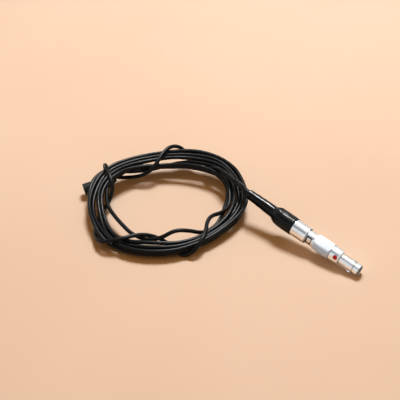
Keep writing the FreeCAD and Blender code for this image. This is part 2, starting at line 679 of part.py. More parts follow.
# ---------------------------------------------------------------------------
# Microphone head
# ---------------------------------------------------------------------------
cap = new_body("grid_cap", HEAD)
turned(cap, "cap", [
    (0, 0), (0, "head_rad - cap_round"), ("cap_round", "head_rad"), ("cap_length", "head_rad"),
    ("cap_length", "cap_bore"), ("cap_wall", "cap_bore"), ("cap_wall", 0)])
spots = [(0.0, 0.0)]
for count, alias, start in ((6, "grid_circle_a", 0.0), (12, "grid_circle_b", 15.0)):
    for k in range(count):
        angle = math.radians(start + 360.0 * k / count)
        spots.append((D[alias] * math.cos(angle), D[alias] * math.sin(angle)))
grid = circles(cap, "sound_openings", spots, "grid_rad")
grid.setExpression(".AttachmentOffset.Base.z", "-1")
cut_through(cap, grid, "sound_opening_cut", 1.8, True)
keep(cap, "grid_cap")

mesh = new_body("acoustic_mesh", HEAD)
turned(mesh, "mesh", [
    ("cap_wall + 0.02", 0), ("cap_wall + 0.02", "cap_bore - 0.02"),
    ("cap_wall + 0.16", "cap_bore - 0.02"), ("cap_wall + 0.16", 0)])
keep(mesh, "acoustic_mesh")

housing = new_body("head_housing", HEAD)
turned(housing, "housing", [
    ("spigot_front", "head_bore"), ("spigot_front", "spigot_rad - 0.1"),
    ("spigot_front + 0.1", "spigot_rad"), ("cap_length + 0.05", "spigot_rad"),
    ("cap_length + 0.05", "head_rad"), ("head_length - 0.5", "head_rad"),
    ("head_length", "head_rad - 0.5"), ("head_length", "gland_hole"),
    ("head_bore_end", "gland_hole"), ("head_bore_end", "head_bore")])
keep(housing, "head_housing")

capsule = new_body("mic_capsule", HEAD)
turned(capsule, "capsule", [
    ("capsule_front", 0.5), ("capsule_front", "capsule_rad - 0.15"),
    ("capsule_front + 0.15", "capsule_rad"), ("capsule_back", "capsule_rad"),
    ("capsule_back", 0), ("capsule_front + 0.4", 0), ("capsule_front + 0.4", 0.5)])
keep(capsule, "mic_capsule")

retainer = new_body("capsule_retainer", HEAD)
turned(retainer, "retainer", [
    ("capsule_back + 0.05", 1.2), ("capsule_back + 0.05", "head_bore - 0.01"),
    ("capsule_back + 0.85", "head_bore - 0.01"), ("capsule_back + 0.85", 1.2)])
keep(retainer, "capsule_retainer")

board = new_body("circuit_disc", HEAD)
turned(board, "board", [
    (5.4, 0), (5.4, "head_bore - 0.05"), (5.9, "head_bore - 0.05"), (5.9, 0)])
keep(board, "circuit_disc")

head_wires = new_body("head_conductors", HEAD)
head_wire_sketch = circles(head_wires, "head_wire_section", triangle(0.5), "conductor_rad")
head_wire_sketch.setExpression(".AttachmentOffset.Base.z", "5.92")
head_wire_pad = head_wires.newObject("PartDesign::Pad", "head_wire_run")
head_wire_pad.Profile = head_wire_sketch
head_wire_pad.Length = 2.46
head_wire_sketch.Visibility = False
keep(head_wires, "head_conductors")

crimp = new_body("cable_crimp", HEAD)
turned(crimp, "crimp", [
    (8.9, "relief_bore"), (8.9, 1.15), (9.1, 1.25), (10.4, 1.25), (10.5, 1.15), (10.5, "relief_bore")])
keep(crimp, "cable_crimp")

gland = new_body("head_gland", HEAD)
turned(gland, "gland", [
    ("head_bore_end + 0.1", "relief_bore"), ("head_bore_end + 0.1", "gland_hole - 0.01"),
    ("head_length + 0.03", "gland_hole - 0.01"), ("head_length + 0.03", 1.6),
    ("head_length + 0.5", 1.6), ("gland_end", 1.12), ("gland_end", "relief_bore")])
keep(gland, "head_gland")

# ---------------------------------------------------------------------------
# Check and write
# ---------------------------------------------------------------------------
doc.recompute()
bad = [obj.Name for obj in doc.Objects if "Invalid" in obj.State or "Error" in obj.State]
if bad:
    raise RuntimeError("objects in error: %s" % bad)
for label, obj in nodes:
    shape = obj.Shape
    if shape.isNull() or not shape.isValid() or not shape.Solids:
        raise RuntimeError("bad shape: " + label)

os.makedirs("parts", exist_ok=True)
whole = FreeCAD.BoundBox()
ends = FreeCAD.BoundBox()
CORD = ("cable_coil", "cable_lead", "cable_tail", "cable_in_plug")
for label, obj in nodes:
    box = obj.Shape.BoundBox
    whole.add(box)
    if label not in CORD:
        ends.add(box)
    print("%-22s solids %d  volume %9.3f  z %.2f to %.2f" % (
        label, len(obj.Shape.Solids), obj.Shape.Volume, box.ZMin, box.ZMax))
    obj.Shape.exportStep("parts/%s.step" % label)
print("whole box x %.2f..%.2f y %.2f..%.2f z %.2f..%.2f" % (
    whole.XMin, whole.XMax, whole.YMin, whole.YMax, whole.ZMin, whole.ZMax))
print("rigid ends box x %.2f..%.2f y %.2f..%.2f z %.2f..%.2f, middle %.3f %.3f" % (
    ends.XMin, ends.XMax, ends.YMin, ends.YMax, ends.ZMin, ends.ZMax,
    (ends.XMin + ends.XMax) / 2, (ends.YMin + ends.YMax) / 2))
print(len(nodes), "nodes")
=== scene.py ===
import math

import bmesh
import bpy
import numpy as np
from mathutils import Matrix, Vector, noise


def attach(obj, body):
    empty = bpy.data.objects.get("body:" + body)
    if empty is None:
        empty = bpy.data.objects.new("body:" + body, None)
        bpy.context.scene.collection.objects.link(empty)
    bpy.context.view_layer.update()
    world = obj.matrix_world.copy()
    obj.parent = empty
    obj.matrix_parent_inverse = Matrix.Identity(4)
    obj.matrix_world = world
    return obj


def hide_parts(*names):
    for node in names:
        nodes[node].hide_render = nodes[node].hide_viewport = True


# A thin black microphone lead, hand coiled with its tail wound round the turns.
# One end goes into a small push-pull plug, the other into a miniature
# microphone head.  Metres, +Z up, the floor is Z = 0.

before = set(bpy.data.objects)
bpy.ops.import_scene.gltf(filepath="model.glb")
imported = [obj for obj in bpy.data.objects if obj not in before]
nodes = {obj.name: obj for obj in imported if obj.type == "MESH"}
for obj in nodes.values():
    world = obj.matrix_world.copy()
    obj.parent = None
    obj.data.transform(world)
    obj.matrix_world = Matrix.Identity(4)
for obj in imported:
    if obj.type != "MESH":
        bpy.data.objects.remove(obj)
MM = 0.001
scene = bpy.context.scene
scene.view_settings.view_transform = "Standard"

# ---------------------------------------------------------------------------
# camera: the photograph's angle, 39 degrees down, a long lens
# ---------------------------------------------------------------------------
ELEV = math.radians(39.0)
AIM = Vector((-6.494, 20.172, 0.0)) * MM
LOOK = Vector((0.0, math.cos(ELEV), -math.sin(ELEV)))
cam_data = bpy.data.cameras.new("view")
cam_data.sensor_fit = "HORIZONTAL"
cam_data.sensor_width = 36.0
cam_data.lens = 81.0
cam_data.clip_start = 0.01
cam = bpy.data.objects.new("view", cam_data)
cam.location = AIM - LOOK * 0.396
cam.rotation_euler = (math.pi / 2 - ELEV, 0.0, 0.0)
scene.collection.objects.link(cam)
scene.camera = cam

# ---------------------------------------------------------------------------
# the plug's and the head's own frames
# ---------------------------------------------------------------------------
PLUG_O = Vector((13.659, 7.961, 12.424)) * MM   # rear end of the glossy boot
PLUG_X = Vector((0.7603015, -0.6252524, -0.1760712)).normalized()   # towards the nose
PLUG_Z = Vector((-0.4896, -0.7297, 0.4772))     # the side that the red dot is on
PLUG_Z = (PLUG_Z - PLUG_X * PLUG_Z.dot(PLUG_X)).normalized()
PLUG_Y = PLUG_Z.cross(PLUG_X)
HEAD_O = Vector((-57.511, 22.861, 3.6)) * MM    # middle of the head's outer end face
HEAD_X = Vector((0.9317135, 0.3306693, 0.1502256)).normalized()     # inwards
HEAD_Z = (Vector((0, 0, 1)) - HEAD_X * HEAD_X.z).normalized()
HEAD_Y = HEAD_Z.cross(HEAD_X)


def plug_at(u, y=0.0, z=0.0):
    return PLUG_O + (PLUG_X * u + PLUG_Y * y + PLUG_Z * z) * MM


def head_at(u, y=0.0, z=0.0):
    return HEAD_O + (HEAD_X * u + HEAD_Y * y + HEAD_Z * z) * MM


# ---------------------------------------------------------------------------
# the cord.  From inside the plug, over the bundle in its relief sleeve, then
# wound round it four times, then eight loose turns, then into the head.
# ---------------------------------------------------------------------------
CORD = [
    (32.67, -7.67, 8.02), (23.32, 0.28, 10.40), (14.07, 8.33, 12.89), (11.45, 13.29, 12.87),
    (10.08, 16.44, 11.92), (7.68, 19.68, 11.72), (5.08, 23.14, 11.65), (3.02, 26.93, 11.16),
    (0.53, 30.90, 9.76), (-2.77, 33.85, 7.01), (-5.80, 36.79, 4.57), (-8.23, 40.26, 3.78),
    (-10.46, 43.46, 4.93), (-12.83, 45.59, 7.55), (-15.83, 45.98, 10.43), (-19.52, 44.05, 12.02),
    (-22.66, 40.26, 11.82), (-24.58, 36.35, 10.92), (-26.29, 33.17, 9.44), (-28.87, 31.20, 7.40),
    (-32.54, 30.71, 5.34), (-36.84, 31.50, 3.92), (-41.19, 32.41, 3.06), (-45.52, 32.71, 3.07),
    (-48.54, 33.26, 5.88), (-48.97, 32.78, 10.09), (-47.71, 29.24, 12.26), (-46.11, 23.98, 12.01),
    (-44.68, 19.88, 10.85), (-44.18, 17.13, 8.89), (-44.87, 14.50, 6.16), (-46.82, 11.40, 3.57),
    (-48.89, 7.76, 1.83), (-50.25, 3.52, 1.04), (-50.70, -1.06, 1.32), (-50.22, -5.74, 2.38),
    (-48.88, -10.07, 3.49), (-46.33, -12.88, 4.76), (-42.39, -13.56, 6.06), (-38.25, -12.73, 6.46),
    (-34.31, -10.87, 6.26), (-30.04, -9.05, 5.54), (-25.78, -8.49, 4.10), (-21.76, -9.28, 2.65),
    (-18.60, -11.42, 1.39), (-16.10, -14.54, 0.74), (-13.25, -16.97, 0.96), (-9.81, -17.38, 2.74),
    (-7.00, -15.46, 5.40), (-5.17, -12.18, 6.68), (-4.03, -7.89, 6.78), (-3.60, -3.19, 7.02),
    (-2.02, 0.73, 7.14), (1.70, 3.41, 6.30), (5.13, 6.88, 5.82), (6.47, 12.56, 6.69),
    (6.13, 19.33, 7.97), (3.98, 25.10, 8.32), (0.14, 29.57, 8.57), (-5.61, 32.73, 8.72),
    (-12.22, 34.82, 8.61), (-18.44, 35.43, 8.03), (-24.89, 35.02, 7.90), (-31.68, 33.56, 8.56),
    (-38.07, 30.63, 9.44), (-42.65, 26.46, 10.05), (-46.43, 21.27, 9.68), (-48.64, 15.35, 8.45),
    (-48.51, 9.04, 6.95), (-46.97, 2.53, 5.57), (-44.74, -3.71, 4.48), (-41.38, -8.81, 4.00),
    (-36.24, -11.98, 4.29), (-29.62, -13.27, 4.88), (-22.84, -13.54, 4.75), (-16.52, -12.94, 4.03),
    (-10.30, -10.85, 3.76), (-4.34, -7.44, 4.20), (0.74, -3.34, 5.01), (4.68, 1.35, 5.86),
    (7.29, 6.94, 6.61), (8.41, 13.41, 7.24), (7.94, 20.36, 7.80), (5.86, 27.09, 8.20),
    (1.98, 32.72, 8.22), (-3.93, 36.30, 7.85), (-10.34, 38.17, 7.62), (-16.05, 38.58, 6.65),
    (-22.75, 37.95, 5.20), (-30.10, 36.27, 4.20), (-36.99, 33.91, 5.13), (-42.60, 30.93, 7.69),
    (-46.29, 26.88, 9.44), (-48.57, 22.02, 8.23), (-49.44, 16.13, 5.99), (-49.02, 9.50, 4.14),
    (-47.46, 2.76, 3.07), (-44.77, -3.39, 2.59), (-40.83, -8.40, 2.46), (-35.61, -11.99, 2.62),
    (-29.34, -14.06, 2.94), (-22.58, -14.61, 3.07), (-16.02, -13.65, 2.59), (-10.03, -11.37, 2.12),
    (-4.64, -7.97, 2.31), (0.36, -3.57, 3.11), (5.02, 1.54, 4.19), (8.68, 7.14, 5.28),
    (10.27, 13.15, 6.24), (9.88, 19.53, 7.12), (8.18, 25.94, 7.96), (5.06, 31.64, 8.58),
    (0.40, 35.85, 8.81), (-5.56, 38.38, 8.77), (-12.40, 39.58, 8.85), (-19.09, 39.62, 8.99),
    (-25.10, 38.42, 8.89), (-31.69, 36.21, 9.13), (-37.81, 32.93, 9.74), (-42.87, 28.65, 10.40),
    (-47.18, 23.26, 10.24), (-49.94, 17.43, 8.73), (-50.25, 11.66, 6.73), (-49.09, 5.68, 5.07),
    (-47.54, -0.53, 3.94), (-45.14, -6.39, 3.38), (-41.13, -11.06, 3.39), (-35.45, -14.08, 3.82),
    (-28.80, -15.56, 4.28), (-22.17, -15.90, 4.36), (-15.86, -15.05, 4.11), (-9.69, -12.67, 4.11),
    (-3.80, -9.13, 4.44), (1.44, -5.00, 4.75), (5.88, -0.29, 5.21), (9.44, 5.20, 5.97),
    (11.64, 11.33, 6.61), (11.92, 17.73, 6.77), (10.48, 24.19, 6.99), (7.86, 30.32, 7.77),
    (3.90, 35.39, 8.76), (-1.33, 38.88, 9.28), (-7.62, 40.73, 9.24), (-14.38, 41.46, 9.27),
    (-21.22, 41.04, 9.24), (-27.80, 39.66, 9.17), (-33.90, 37.61, 9.22), (-39.78, 34.74, 9.27),
    (-45.42, 30.76, 9.16), (-49.07, 25.41, 8.62), (-51.13, 19.20, 7.54), (-52.30, 12.80, 6.32),
    (-51.97, 6.38, 5.32), (-50.09, 0.08, 4.75), (-47.10, -5.89, 4.60), (-43.17, -11.22, 4.58),
    (-38.18, -15.36, 4.41), (-32.03, -17.74, 4.38), (-25.36, -18.48, 4.48), (-18.94, -18.03, 4.39),
    (-12.70, -16.20, 4.41), (-6.66, -13.09, 4.64), (-1.16, -9.25, 5.10), (3.64, -4.95, 5.61),
    (7.99, -0.09, 6.05), (11.70, 5.39, 6.48), (13.65, 11.42, 7.02), (13.27, 17.94, 7.71),
    (11.60, 24.73, 8.47), (9.22, 31.02, 8.93), (5.25, 36.29, 9.18), (-0.15, 40.29, 9.56),
    (-6.34, 42.76, 9.96), (-12.96, 43.55, 9.97), (-19.28, 43.05, 9.72), (-25.84, 41.83, 9.53),
    (-32.25, 40.06, 9.46), (-38.44, 37.49, 9.37), (-44.04, 34.15, 9.51), (-48.48, 29.64, 9.34),
    (-51.45, 23.92, 8.67), (-53.29, 17.37, 7.71), (-53.91, 10.63, 6.77), (-52.88, 4.14, 6.10),
    (-50.83, -1.93, 5.54), (-48.46, -7.42, 4.74), (-44.78, -12.00, 3.62), (-39.05, -15.31, 2.71),
    (-32.53, -17.20, 2.48), (-26.10, -18.01, 2.55), (-19.59, -17.82, 2.62), (-13.38, -16.36, 2.73),
    (-7.69, -13.60, 2.90), (-2.25, -9.87, 3.28), (3.02, -5.50, 3.78), (7.66, -0.62, 4.18),
    (11.01, 4.77, 4.37), (12.79, 10.70, 4.52), (13.06, 17.19, 4.99), (12.01, 24.03, 5.98),
    (9.79, 30.42, 6.94), (6.34, 35.70, 7.46), (1.46, 39.77, 7.84), (-4.65, 42.44, 8.08),
    (-11.37, 43.78, 8.19), (-18.12, 44.01, 8.13), (-24.63, 43.18, 7.82), (-30.98, 41.35, 7.39),
    (-37.27, 38.65, 7.17), (-43.37, 35.20, 7.44), (-48.72, 31.00, 8.03), (-52.52, 25.88, 8.24),
    (-54.33, 19.95, 7.18), (-54.28, 13.46, 5.39), (-52.87, 6.71, 3.91), (-50.53, 0.15, 3.05),
    (-47.35, -5.74, 2.48), (-43.13, -10.50, 1.97), (-37.77, -13.84, 1.69), (-31.53, -15.76, 1.80),
    (-24.89, -16.42, 2.21), (-18.30, -15.89, 2.59), (-12.04, -14.08, 2.30), (-6.20, -11.15, 1.61),
    (-0.94, -7.33, 1.37), (3.35, -2.55, 1.79), (6.30, 3.14, 2.78), (7.77, 9.49, 4.05),
    (7.87, 16.14, 5.24), (7.04, 22.72, 6.10), (4.56, 28.87, 6.49), (0.33, 34.11, 6.35),
    (-4.79, 38.46, 6.45), (-10.50, 41.56, 6.80), (-17.16, 42.98, 6.84), (-23.86, 42.34, 6.42),
    (-29.75, 40.03, 6.60), (-34.98, 36.40, 7.61), (-39.86, 31.50, 8.40), (-44.29, 26.23, 8.52),
    (-46.76, 20.87, 7.81), (-46.72, 14.98, 7.02), (-46.07, 8.91, 6.38), (-42.82, 2.95, 5.79),
    (-38.83, -2.65, 5.07), (-34.65, -7.38, 4.17), (-29.01, -10.35, 3.57), (-22.80, -10.45, 4.42),
    (-16.94, -7.83, 6.73), (-11.10, -6.77, 5.64), (-4.91, -5.77, 3.16), (0.13, -1.54, 3.31),
    (2.95, 4.47, 4.32), (4.49, 10.88, 4.92), (5.75, 17.27, 5.18), (5.04, 23.82, 6.12),
    (1.74, 29.12, 6.84), (-3.59, 32.52, 6.82), (-9.72, 34.85, 6.89), (-16.30, 35.74, 6.56),
    (-23.20, 35.98, 6.22), (-29.65, 36.34, 6.20), (-35.05, 36.23, 5.86), (-39.25, 34.77, 5.26),
    (-42.64, 31.89, 4.79), (-45.98, 28.62, 4.65), (-49.68, 25.64, 4.86),
]
CORD_D = 0.0017


def cord_curve(name, bevel):
    data = bpy.data.curves.new(name, "CURVE")
    data.dimensions = "3D"
    data.resolution_u = 10
    spline = data.splines.new("NURBS")
    spline.points.add(len(CORD) - 1)
    for point, (x, y, z) in zip(spline.points, CORD):
        point.co = (x * MM, y * MM, z * MM, 1.0)
    spline.order_u = 3
    spline.use_endpoint_u = True
    if bevel:
        data.bevel_depth = bevel
        data.bevel_resolution = 6
        data.use_fill_caps = True
    obj = bpy.data.objects.new(name, data)
    scene.collection.objects.link(obj)
    return obj


cord = cord_curve("thin_cable", CORD_D / 2)

# the points that the pieces along the cord follow, read from its own spline
bare = cord_curve("cord_line", 0.0)
bpy.context.view_layer.update()
line_mesh = bpy.data.meshes.new_from_object(bare)
LINE = np.array([v.co[:] for v in line_mesh.vertices])
bpy.data.meshes.remove(line_mesh)
bpy.data.objects.remove(bare)
SEG = np.linalg.norm(np.diff(LINE, axis=0), axis=1)
ALONG = np.concatenate([[0.0], np.cumsum(SEG)])
CORD_LENGTH = float(ALONG[-1])


def line_at(s):
    return np.stack([np.interp(s, ALONG, LINE[:, k]) for k in range(3)], axis=-1)


# ---------------------------------------------------------------------------
# mesh helpers
# ---------------------------------------------------------------------------
def make_object(name, verts, faces, smooth=True, crease=None):
    mesh = bpy.data.meshes.new(name)
    mesh.from_pydata([tuple(v) for v in verts], [], faces)
    mesh.validate()
    mesh.update()
    if smooth:
        mesh.polygons.foreach_set("use_smooth", [True] * len(mesh.polygons))
        if crease is not None:
            mesh.set_sharp_from_angle(angle=math.radians(crease))
    obj = bpy.data.objects.new(name, mesh)
    scene.collection.objects.link(obj)
    return obj


def lathe(name, profile, place, around, shape=None, crease=35.0, closed=True):
    """A turned piece.  profile is (u, r) in mm, closed on itself or open;
    shape(u, angle, r) may change the radius; place(u, y, z) gives the point."""
    verts, faces = [], []
    for u, r in profile:
        for k in range(around):
            a = 2 * math.pi * k / around
            rr = shape(u, a, r) if shape else r
            verts.append(place(u, rr * math.cos(a), rr * math.sin(a)))
    rows = len(profile)
    for i in range(rows if closed else rows - 1):
        j = (i + 1) % rows
        for k in range(around):
            m = (k + 1) % around
            faces.append((i * around + k, i * around + m, j * around + m, j * around + k))
    obj = make_object(name, verts, faces, crease=crease)
    bm = bmesh.new()
    bm.from_mesh(obj.data)
    bmesh.ops.recalc_face_normals(bm, faces=bm.faces)
    bm.to_mesh(obj.data)
    bm.free()
    return obj


def tube_along(name, s0, s1, steps, outer, inner, around=28):
    """A tube that follows the cord's own line.  outer(t) and inner(t) give
    a radius in metres, or a radius round the tube, for t from 0 to 1."""
    t = np.linspace(0.0, 1.0, steps)
    pts = line_at(s0 + (s1 - s0) * t)
    tang = np.gradient(pts, axis=0)
    tang /= np.linalg.norm(tang, axis=1)[:, None]
    side = np.array(PLUG_Z)
    ring_a, ring_b = [], []
    for d in tang:
        side = side - d * side.dot(d)
        side = side / np.linalg.norm(side)
        ring_a.append(side)
        ring_b.append(np.cross(d, side))
    verts, faces = [], []

    def add_ring(i, r):
        for k in range(around):
            a = 2 * math.pi * k / around
            rr = r(a) if callable(r) else r
            verts.append(pts[i] + rr * (math.cos(a) * ring_a[i] + math.sin(a) * ring_b[i]))

    for i in range(steps):
        add_ring(i, outer(t[i]))
    for i in reversed(range(steps)):
        add_ring(i, inner(t[i]))
    rows = 2 * steps
    for i in range(rows):
        j = (i + 1) % rows
        for k in range(around):
            m = (k + 1) % around
            faces.append((i * around + k, i * around + m, j * around + m, j * around + k))
    obj = make_object(name, verts, faces, crease=40.0)
    bm = bmesh.new()
    bm.from_mesh(obj.data)
    bmesh.ops.recalc_face_normals(bm, faces=bm.faces)
    bm.to_mesh(obj.data)
    bm.free()
    return obj


# ---------------------------------------------------------------------------
# materials
# ---------------------------------------------------------------------------
def new_material(name):
    mat = bpy.data.materials.new(name)
    mat.use_nodes = True
    nt = mat.node_tree
    nt.nodes.clear()
    out = nt.nodes.new("ShaderNodeOutputMaterial")
    bsdf = nt.nodes.new("ShaderNodeBsdfPrincipled")
    nt.links.new(bsdf.outputs["BSDF"], out.inputs["Surface"])
    coord = nt.nodes.new("ShaderNodeTexCoord")
    return mat, nt, bsdf, coord


def noise_node(nt, vector, scale, detail=3.0, rough=0.55, lac=2.0):
    n = nt.nodes.new("ShaderNodeTexNoise")
    n.inputs["Scale"].default_value = scale
    n.inputs["Detail"].default_value = detail
    n.inputs["Roughness"].default_value = rough
    n.inputs["Lacunarity"].default_value = lac
    nt.links.new(vector, n.inputs["Vector"])
    return n


def ramp(nt, fac, stops):
    r = nt.nodes.new("ShaderNodeValToRGB")
    el = r.color_ramp.elements
    while len(el) > len(stops):
        el.remove(el[-1])
    while len(el) < len(stops):
        el.new(0.5)
    for e, (pos, col) in zip(el, stops):
        e.position = pos
        e.color = (*col, 1.0) if len(col) == 3 else col
    nt.links.new(fac, r.inputs["Fac"])
    return r


def span(nt, fac, low, high):
    m = nt.nodes.new("ShaderNodeMapRange")
    m.inputs["To Min"].default_value = low
    m.inputs["To Max"].default_value = high
    nt.links.new(fac, m.inputs["Value"])
    return m


def bump(nt, height, strength, distance, normal=None):
    b = nt.nodes.new("ShaderNodeBump")
    b.inputs["Strength"].default_value = strength
    b.inputs["Distance"].default_value = distance
    nt.links.new(height, b.inputs["Height"])
    if normal is not None:
        nt.links.new(normal, b.inputs["Normal"])
    return b


def axis_map(nt, coord, origin, x_axis, y_axis, z_axis):
    """Object coordinates turned into a turned piece's own frame, so that
    lines can run along or round its axis."""
    sub = nt.nodes.new("ShaderNodeVectorMath")
    sub.operation = "SUBTRACT"
    sub.inputs[1].default_value = tuple(origin)
    nt.links.new(coord, sub.inputs[0])
    parts = []
    for axis in (x_axis, y_axis, z_axis):
        dot = nt.nodes.new("ShaderNodeVectorMath")
        dot.operation = "DOT_PRODUCT"
        dot.inputs[1].default_value = tuple(axis)
        nt.links.new(sub.outputs[0], dot.inputs[0])
        parts.append(dot.outputs["Value"])
    comb = nt.nodes.new("ShaderNodeCombineXYZ")
    for k in range(3):
        nt.links.new(parts[k], comb.inputs[k])
    return comb.outputs[0]


def stretched(nt, vector, sx, sy, sz):
    m = nt.nodes.new("ShaderNodeMapping")
    m.inputs["Scale"].default_value = (sx, sy, sz)
    nt.links.new(vector, m.inputs["Vector"])
    return m.outputs[0]


def plastic(name, dark, light, rough, rough_var, grain_scale, grain, spec=0.5, coat=0.0, coat_rough=0.1, patch=90.0):
    """Soft plastic or rubber: uneven colour, uneven gloss, fine skin."""
    mat, nt, bsdf, coord = new_material(name)
    obj = coord.outputs["Object"]
    broad = noise_node(nt, obj, patch, 4.0, 0.6)
    col = ramp(nt, broad.outputs["Fac"], [(0.30, dark), (0.72, light)])
    nt.links.new(col.outputs["Color"], bsdf.inputs["Base Color"])
    gloss = noise_node(nt, obj, patch * 4.7, 3.0, 0.6)
    rr = span(nt, gloss.outputs["Fac"], rough - rough_var, rough + rough_var)
    nt.links.new(rr.outputs["Result"], bsdf.inputs["Roughness"])
    fine = noise_node(nt, obj, grain_scale, 4.0, 0.6)
    b = bump(nt, fine.outputs["Fac"], grain, 0.00003)
    nt.links.new(b.outputs["Normal"], bsdf.inputs["Normal"])
    bsdf.inputs["Specular IOR Level"].default_value = spec
    bsdf.inputs["Coat Weight"].default_value = coat
    bsdf.inputs["Coat Roughness"].default_value = coat_rough
    return mat, nt, bsdf, coord


def metal(name, dark, light, rough, rough_var, frame_axes, turn=(60.0, 2600.0), grain=0.25, patch=160.0, metallic=1.0):
    """Turned metal: fine tool lines round the axis, light smudges."""
    mat, nt, bsdf, coord = new_material(name)
    obj = coord.outputs["Object"]
    own = axis_map(nt, obj, *frame_axes)
    smudge = noise_node(nt, obj, patch, 4.0, 0.65)
    col = ramp(nt, smudge.outputs["Fac"], [(0.28, dark), (0.70, light)])
    nt.links.new(col.outputs["Color"], bsdf.inputs["Base Color"])
    bsdf.inputs["Metallic"].default_value = metallic
    rr = span(nt, smudge.outputs["Fac"], rough - rough_var, rough + rough_var)
    lines = noise_node(nt, stretched(nt, own, turn[1], turn[0], turn[0]), 1.0, 2.0, 0.6)
    both = nt.nodes.new("ShaderNodeMath")
    both.operation = "MULTIPLY_ADD"
    nt.links.new(lines.outputs["Fac"], both.inputs[0])
    both.inputs[1].default_value = rough_var * 1.5
    nt.links.new(rr.outputs["Result"], both.inputs[2])
    nt.links.new(both.outputs[0], bsdf.inputs["Roughness"])
    b = bump(nt, lines.outputs["Fac"], grain, 0.000006)
    nt.links.new(b.outputs["Normal"], bsdf.inputs["Normal"])
    return mat, nt, bsdf, coord


PLUG_AXES = (PLUG_O, PLUG_X, PLUG_Y, PLUG_Z)
HEAD_AXES = (HEAD_O, HEAD_X, HEAD_Y, HEAD_Z)

jacket = plastic("jacket", (0.0012, 0.0013, 0.0015), (0.0032, 0.0034, 0.0038), 0.29, 0.06, 4200.0, 0.02, spec=0.12, patch=55.0)[0]
relief_rubber = plastic("relief_rubber", (0.0015, 0.0015, 0.0015), (0.0045, 0.0044, 0.0042), 0.26, 0.12, 1100.0, 0.9, spec=0.12, patch=620.0)[0]
shrink, snt, sbsdf, scoord = plastic("shrink_black", (0.0016, 0.0016, 0.0017), (0.0034, 0.0033, 0.0032), 0.16, 0.05, 1500.0, 0.20, spec=0.17, patch=150.0)
sown = axis_map(snt, scoord.outputs["Object"], PLUG_O, PLUG_X, PLUG_Y, PLUG_Z)
ssep = snt.nodes.new("ShaderNodeSeparateXYZ")
snt.links.new(sown, ssep.inputs[0])
swide = snt.nodes.new("ShaderNodeMapRange")
swide.inputs["From Min"].default_value = 14.0 * MM
swide.inputs["From Max"].default_value = 16.5 * MM
swide.inputs["To Min"].default_value = 0.0
swide.inputs["To Max"].default_value = 1.0
snt.links.new(ssep.outputs["X"], swide.inputs["Value"])
sdull = noise_node(snt, stretched(snt, sown, 260.0, 700.0, 700.0), 1.0, 3.0, 0.6)
sadd = snt.nodes.new("ShaderNodeMath")
sadd.operation = "MULTIPLY"
snt.links.new(swide.outputs["Result"], sadd.inputs[0])
snt.links.new(span(snt, sdull.outputs["Fac"], -0.06, 0.30).outputs["Result"], sadd.inputs[1])
ssum = snt.nodes.new("ShaderNodeMath")
ssum.operation = "ADD"
snt.links.new(sbsdf.inputs["Roughness"].links[0].from_socket, ssum.inputs[0])
snt.links.new(sadd.outputs[0], ssum.inputs[1])
snt.links.new(ssum.outputs[0], sbsdf.inputs["Roughness"])
head_black = plastic("head_black", (0.0030, 0.0040, 0.0055), (0.0075, 0.0090, 0.0110), 0.44, 0.06, 4200.0, 0.3, spec=0.20, patch=140.0)[0]
polished = metal("nickel_polished", (0.80, 0.81, 0.83), (0.92, 0.92, 0.92), 0.16, 0.04, PLUG_AXES, grain=0.12)[0]
satin = metal("nickel_satin", (0.40, 0.43, 0.47), (0.58, 0.61, 0.65), 0.50, 0.05, PLUG_AXES, grain=0.3)[0]
# painted shade: a near-black nickel for the recess walls and floor, the fine line, the dot's seat and the bore
painted_shade_nickel = metal("nickel_painted_shade", (0.035, 0.032, 0.030), (0.085, 0.078, 0.070), 0.42, 0.06, PLUG_AXES, grain=0.3)[0]
# painted reflection: a warm tan nickel for the recess's raised middle, standing in for the warm floor that it mirrors
painted_reflection_nickel = metal("nickel_painted_reflection", (0.62, 0.53, 0.46), (0.84, 0.77, 0.71), 0.26, 0.06, PLUG_AXES, grain=0.2)[0]
bronze = metal("bronze_gold", (0.70, 0.48, 0.20), (0.86, 0.64, 0.32), 0.22, 0.05, PLUG_AXES)[0]
carrier = metal("carrier_metal", (0.45, 0.44, 0.42), (0.62, 0.61, 0.59), 0.34, 0.07, PLUG_AXES)[0]
capsule = metal("capsule_metal", (0.55, 0.56, 0.57), (0.72, 0.73, 0.74), 0.28, 0.06, HEAD_AXES)[0]
index_red = plastic("index_red", (0.52, 0.004, 0.006), (0.72, 0.008, 0.010), 0.18, 0.05, 3000.0, 0.15, spec=0.30, patch=600.0)[0]
insulator = plastic("insulator_grey", (0.30, 0.30, 0.29), (0.42, 0.42, 0.41), 0.42, 0.06, 4000.0, 0.2, patch=300.0)[0]
wire_cover = plastic("wire_cover", (0.35, 0.06, 0.05), (0.46, 0.09, 0.07), 0.38, 0.06, 5000.0, 0.2, patch=400.0)[0]
board = plastic("board_green", (0.010, 0.075, 0.035), (0.018, 0.12, 0.055), 0.32, 0.05, 2500.0, 0.2, patch=700.0)[0]


